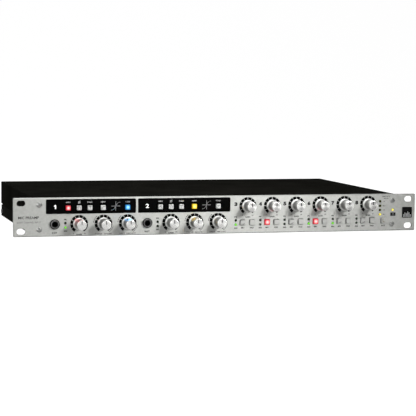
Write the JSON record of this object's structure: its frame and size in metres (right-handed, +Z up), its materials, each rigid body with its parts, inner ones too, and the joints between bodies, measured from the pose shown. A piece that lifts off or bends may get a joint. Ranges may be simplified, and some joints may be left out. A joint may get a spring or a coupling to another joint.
{
  "type": "microphone preamp",
  "caption": "Rack-mounting microphone preamp: silver panel with turning knobs, lit push buttons, instrument jacks and indicator lights, folded black case, sockets at the rear.",
  "frame": {"origin": "centre of the four rack slots, on the front panel's rear face", "axes": "+X right as seen from the front, +Y to the rear, +Z up"},
  "size_m": [0.4826, 0.3097, 0.044],
  "materials": {
    "panel_silver": "satin anodised, fine bead-blasted",
    "strip_black": "smooth, low gloss",
    "badge_black": "gloss",
    "screw_steel": "plated, the tone of the panel",
    "case_black": "fine-textured satin powder coat",
    "screw_black": "black oxide",
    "component_metal": "plain",
    "switch_plastic": "moulded",
    "led_lens": "tinted clear lens",
    "jack_dark": "black nickel",
    "socket_black": "moulded",
    "connector_metal": "nickel plated",
    "rocker_black": "moulded",
    "board_green": "solder mask",
    "ribbon_grey": "ribbed",
    "pillar_brass": "turned",
    "knob_metal": "satin turned",
    "button_red": "translucent, lit red",
    "button_blue": "translucent, lit blue",
    "button_yellow": "translucent, lit yellow",
    "button_clear": "translucent white, unlit",
    "button_grey": "satin silver-grey"
  },
  "bodies": {
    "chassis": {"badge_plate": "badge_black", "board_pillars": "pillar_brass", "button_switches": "switch_plastic", "chassis_tray": "case_black", "clock_connector": "connector_metal", "control_board": "board_green", "front_panel": "panel_silver", "instrument_jacks": "jack_dark", "label_strips": "strip_black", "line_connector": "connector_metal", "machine_screws": "screw_black", "main_board": "board_green", "mains_inlet": "socket_black", "mic_sockets": "socket_black", "optical_sockets": "socket_black", "output_transformers": "component_metal", "panel_leds": "led_lens", "panel_screws": "screw_steel", "potentiometer_bodies": "component_metal", "power_supply": "board_green", "rear_panel": "case_black", "ribbon_cables": "ribbon_grey", "switch_housing": "socket_black", "top_cover": "case_black"},
    "clock_button": {"clock_button": "button_grey"},
    "colour_button_1": {"colour_button_1": "button_blue"},
    "colour_button_2": {"colour_button_2": "button_clear"},
    "drive_knob_1": {"drive_knob_1": "knob_metal"},
    "drive_knob_2": {"drive_knob_2": "knob_metal"},
    "filter_button_1": {"filter_button_1": "button_clear"},
    "filter_button_2": {"filter_button_2": "button_yellow"},
    "gain_knob_1": {"gain_knob_1": "knob_metal"},
    "gain_knob_2": {"gain_knob_2": "knob_metal"},
    "gain_knob_3": {"gain_knob_3": "knob_metal"},
    "gain_knob_4": {"gain_knob_4": "knob_metal"},
    "gain_knob_5": {"gain_knob_5": "knob_metal"},
    "gain_knob_6": {"gain_knob_6": "knob_metal"},
    "gain_knob_7": {"gain_knob_7": "knob_metal"},
    "gain_knob_8": {"gain_knob_8": "knob_metal"},
    "pad_button_1": {"pad_button_1": "button_clear"},
    "pad_button_2": {"pad_button_2": "button_clear"},
    "pad_button_3": {"pad_button_3": "button_grey"},
    "pad_button_4": {"pad_button_4": "button_grey"},
    "pad_button_5": {"pad_button_5": "button_grey"},
    "pad_button_6": {"pad_button_6": "button_grey"},
    "pad_button_7": {"pad_button_7": "button_grey"},
    "pad_button_8": {"pad_button_8": "button_grey"},
    "phantom_button_1": {"phantom_button_1": "button_red"},
    "phantom_button_2": {"phantom_button_2": "button_clear"},
    "phantom_button_3": {"phantom_button_3": "button_grey"},
    "phantom_button_4": {"phantom_button_4": "button_red"},
    "phantom_button_5": {"phantom_button_5": "button_grey"},
    "phantom_button_6": {"phantom_button_6": "button_red"},
    "phantom_button_7": {"phantom_button_7": "button_grey"},
    "phantom_button_8": {"phantom_button_8": "button_grey"},
    "phase_button_1": {"phase_button_1": "button_clear"},
    "phase_button_2": {"phase_button_2": "button_clear"},
    "tone_knob_1": {"tone_knob_1": "knob_metal"},
    "tone_knob_2": {"tone_knob_2": "knob_metal"},
    "power_rocker": {"power_rocker": "rocker_black"}
  },
  "joints": [
    {"name": "clock_button_press", "type": "slide", "parent": "chassis", "child": "clock_button", "axis": [0, 1, 0], "range_m": [0, 0.0015], "stiffness_N_per_m": 400, "springref_m": -0.001},
    {"name": "colour_button_1_press", "type": "slide", "parent": "chassis", "child": "colour_button_1", "axis": [0, 1, 0], "range_m": [0, 0.0015], "stiffness_N_per_m": 400, "springref_m": -0.001},
    {"name": "colour_button_2_press", "type": "slide", "parent": "chassis", "child": "colour_button_2", "axis": [0, 1, 0], "range_m": [0, 0.0015], "stiffness_N_per_m": 400, "springref_m": -0.001},
    {"name": "drive_knob_1_turn", "type": "hinge", "parent": "chassis", "child": "drive_knob_1", "pos_m": [-0.1103, -0.0217, -0.008], "axis": [0, 1, 0], "range_deg": [-150, 150]},
    {"name": "drive_knob_2_turn", "type": "hinge", "parent": "chassis", "child": "drive_knob_2", "pos_m": [-0.00325, -0.0217, -0.008], "axis": [0, 1, 0], "range_deg": [-150, 150]},
    {"name": "filter_button_1_press", "type": "slide", "parent": "chassis", "child": "filter_button_1", "axis": [0, 1, 0], "range_m": [0, 0.0015], "stiffness_N_per_m": 400, "springref_m": -0.001},
    {"name": "filter_button_2_press", "type": "slide", "parent": "chassis", "child": "filter_button_2", "axis": [0, 1, 0], "range_m": [0, 0.0015], "stiffness_N_per_m": 400, "springref_m": -0.001},
    {"name": "gain_knob_1_turn", "type": "hinge", "parent": "chassis", "child": "gain_knob_1", "pos_m": [-0.1665, -0.0217, -0.008], "axis": [0, 1, 0], "range_deg": [-150, 150]},
    {"name": "gain_knob_2_turn", "type": "hinge", "parent": "chassis", "child": "gain_knob_2", "pos_m": [-0.05945, -0.0217, -0.008], "axis": [0, 1, 0], "range_deg": [-150, 150]},
    {"name": "gain_knob_3_turn", "type": "hinge", "parent": "chassis", "child": "gain_knob_3", "pos_m": [0.0325, -0.0217, 0.01], "axis": [0, 1, 0], "range_deg": [-150, 150]},
    {"name": "gain_knob_4_turn", "type": "hinge", "parent": "chassis", "child": "gain_knob_4", "pos_m": [0.0623, -0.0217, 0.01], "axis": [0, 1, 0], "range_deg": [-150, 150]},
    {"name": "gain_knob_5_turn", "type": "hinge", "parent": "chassis", "child": "gain_knob_5", "pos_m": [0.0921, -0.0217, 0.01], "axis": [0, 1, 0], "range_deg": [-150, 150]},
    {"name": "gain_knob_6_turn", "type": "hinge", "parent": "chassis", "child": "gain_knob_6", "pos_m": [0.1219, -0.0217, 0.01], "axis": [0, 1, 0], "range_deg": [-150, 150]},
    {"name": "gain_knob_7_turn", "type": "hinge", "parent": "chassis", "child": "gain_knob_7", "pos_m": [0.1517, -0.0217, 0.01], "axis": [0, 1, 0], "range_deg": [-150, 150]},
    {"name": "gain_knob_8_turn", "type": "hinge", "parent": "chassis", "child": "gain_knob_8", "pos_m": [0.1815, -0.0217, 0.01], "axis": [0, 1, 0], "range_deg": [-150, 150]},
    {"name": "pad_button_1_press", "type": "slide", "parent": "chassis", "child": "pad_button_1", "axis": [0, 1, 0], "range_m": [0, 0.0015], "stiffness_N_per_m": 400, "springref_m": -0.001},
    {"name": "pad_button_2_press", "type": "slide", "parent": "chassis", "child": "pad_button_2", "axis": [0, 1, 0], "range_m": [0, 0.0015], "stiffness_N_per_m": 400, "springref_m": -0.001},
    {"name": "pad_button_3_press", "type": "slide", "parent": "chassis", "child": "pad_button_3", "axis": [0, 1, 0], "range_m": [0, 0.0015], "stiffness_N_per_m": 400, "springref_m": -0.001},
    {"name": "pad_button_4_press", "type": "slide", "parent": "chassis", "child": "pad_button_4", "axis": [0, 1, 0], "range_m": [0, 0.0015], "stiffness_N_per_m": 400, "springref_m": -0.001},
    {"name": "pad_button_5_press", "type": "slide", "parent": "chassis", "child": "pad_button_5", "axis": [0, 1, 0], "range_m": [0, 0.0015], "stiffness_N_per_m": 400, "springref_m": -0.001},
    {"name": "pad_button_6_press", "type": "slide", "parent": "chassis", "child": "pad_button_6", "axis": [0, 1, 0], "range_m": [0, 0.0015], "stiffness_N_per_m": 400, "springref_m": -0.001},
    {"name": "pad_button_7_press", "type": "slide", "parent": "chassis", "child": "pad_button_7", "axis": [0, 1, 0], "range_m": [0, 0.0015], "stiffness_N_per_m": 400, "springref_m": -0.001},
    {"name": "pad_button_8_press", "type": "slide", "parent": "chassis", "child": "pad_button_8", "axis": [0, 1, 0], "range_m": [0, 0.0015], "stiffness_N_per_m": 400, "springref_m": -0.001},
    {"name": "phantom_button_1_press", "type": "slide", "parent": "chassis", "child": "phantom_button_1", "axis": [0, 1, 0], "range_m": [0, 0.0015], "stiffness_N_per_m": 400, "springref_m": -0.001},
    {"name": "phantom_button_2_press", "type": "slide", "parent": "chassis", "child": "phantom_button_2", "axis": [0, 1, 0], "range_m": [0, 0.0015], "stiffness_N_per_m": 400, "springref_m": -0.001},
    {"name": "phantom_button_3_press", "type": "slide", "parent": "chassis", "child": "phantom_button_3", "axis": [0, 1, 0], "range_m": [0, 0.0015], "stiffness_N_per_m": 400, "springref_m": -0.001},
    {"name": "phantom_button_4_press", "type": "slide", "parent": "chassis", "child": "phantom_button_4", "axis": [0, 1, 0], "range_m": [0, 0.0015], "stiffness_N_per_m": 400, "springref_m": -0.001},
    {"name": "phantom_button_5_press", "type": "slide", "parent": "chassis", "child": "phantom_button_5", "axis": [0, 1, 0], "range_m": [0, 0.0015], "stiffness_N_per_m": 400, "springref_m": -0.001},
    {"name": "phantom_button_6_press", "type": "slide", "parent": "chassis", "child": "phantom_button_6", "axis": [0, 1, 0], "range_m": [0, 0.0015], "stiffness_N_per_m": 400, "springref_m": -0.001},
    {"name": "phantom_button_7_press", "type": "slide", "parent": "chassis", "child": "phantom_button_7", "axis": [0, 1, 0], "range_m": [0, 0.0015], "stiffness_N_per_m": 400, "springref_m": -0.001},
    {"name": "phantom_button_8_press", "type": "slide", "parent": "chassis", "child": "phantom_button_8", "axis": [0, 1, 0], "range_m": [0, 0.0015], "stiffness_N_per_m": 400, "springref_m": -0.001},
    {"name": "phase_button_1_press", "type": "slide", "parent": "chassis", "child": "phase_button_1", "axis": [0, 1, 0], "range_m": [0, 0.0015], "stiffness_N_per_m": 400, "springref_m": -0.001},
    {"name": "phase_button_2_press", "type": "slide", "parent": "chassis", "child": "phase_button_2", "axis": [0, 1, 0], "range_m": [0, 0.0015], "stiffness_N_per_m": 400, "springref_m": -0.001},
    {"name": "tone_knob_1_turn", "type": "hinge", "parent": "chassis", "child": "tone_knob_1", "pos_m": [-0.1384, -0.0217, -0.008], "axis": [0, 1, 0], "range_deg": [-150, 150]},
    {"name": "tone_knob_2_turn", "type": "hinge", "parent": "chassis", "child": "tone_knob_2", "pos_m": [-0.03135, -0.0217, -0.008], "axis": [0, 1, 0], "range_deg": [-150, 150]},
    {"name": "power_rocker_tip", "type": "hinge", "parent": "chassis", "child": "power_rocker", "pos_m": [0.1995, 0.273, -0.001], "axis": [1, 0, 0], "range_deg": [-20, 0]}
  ]
}
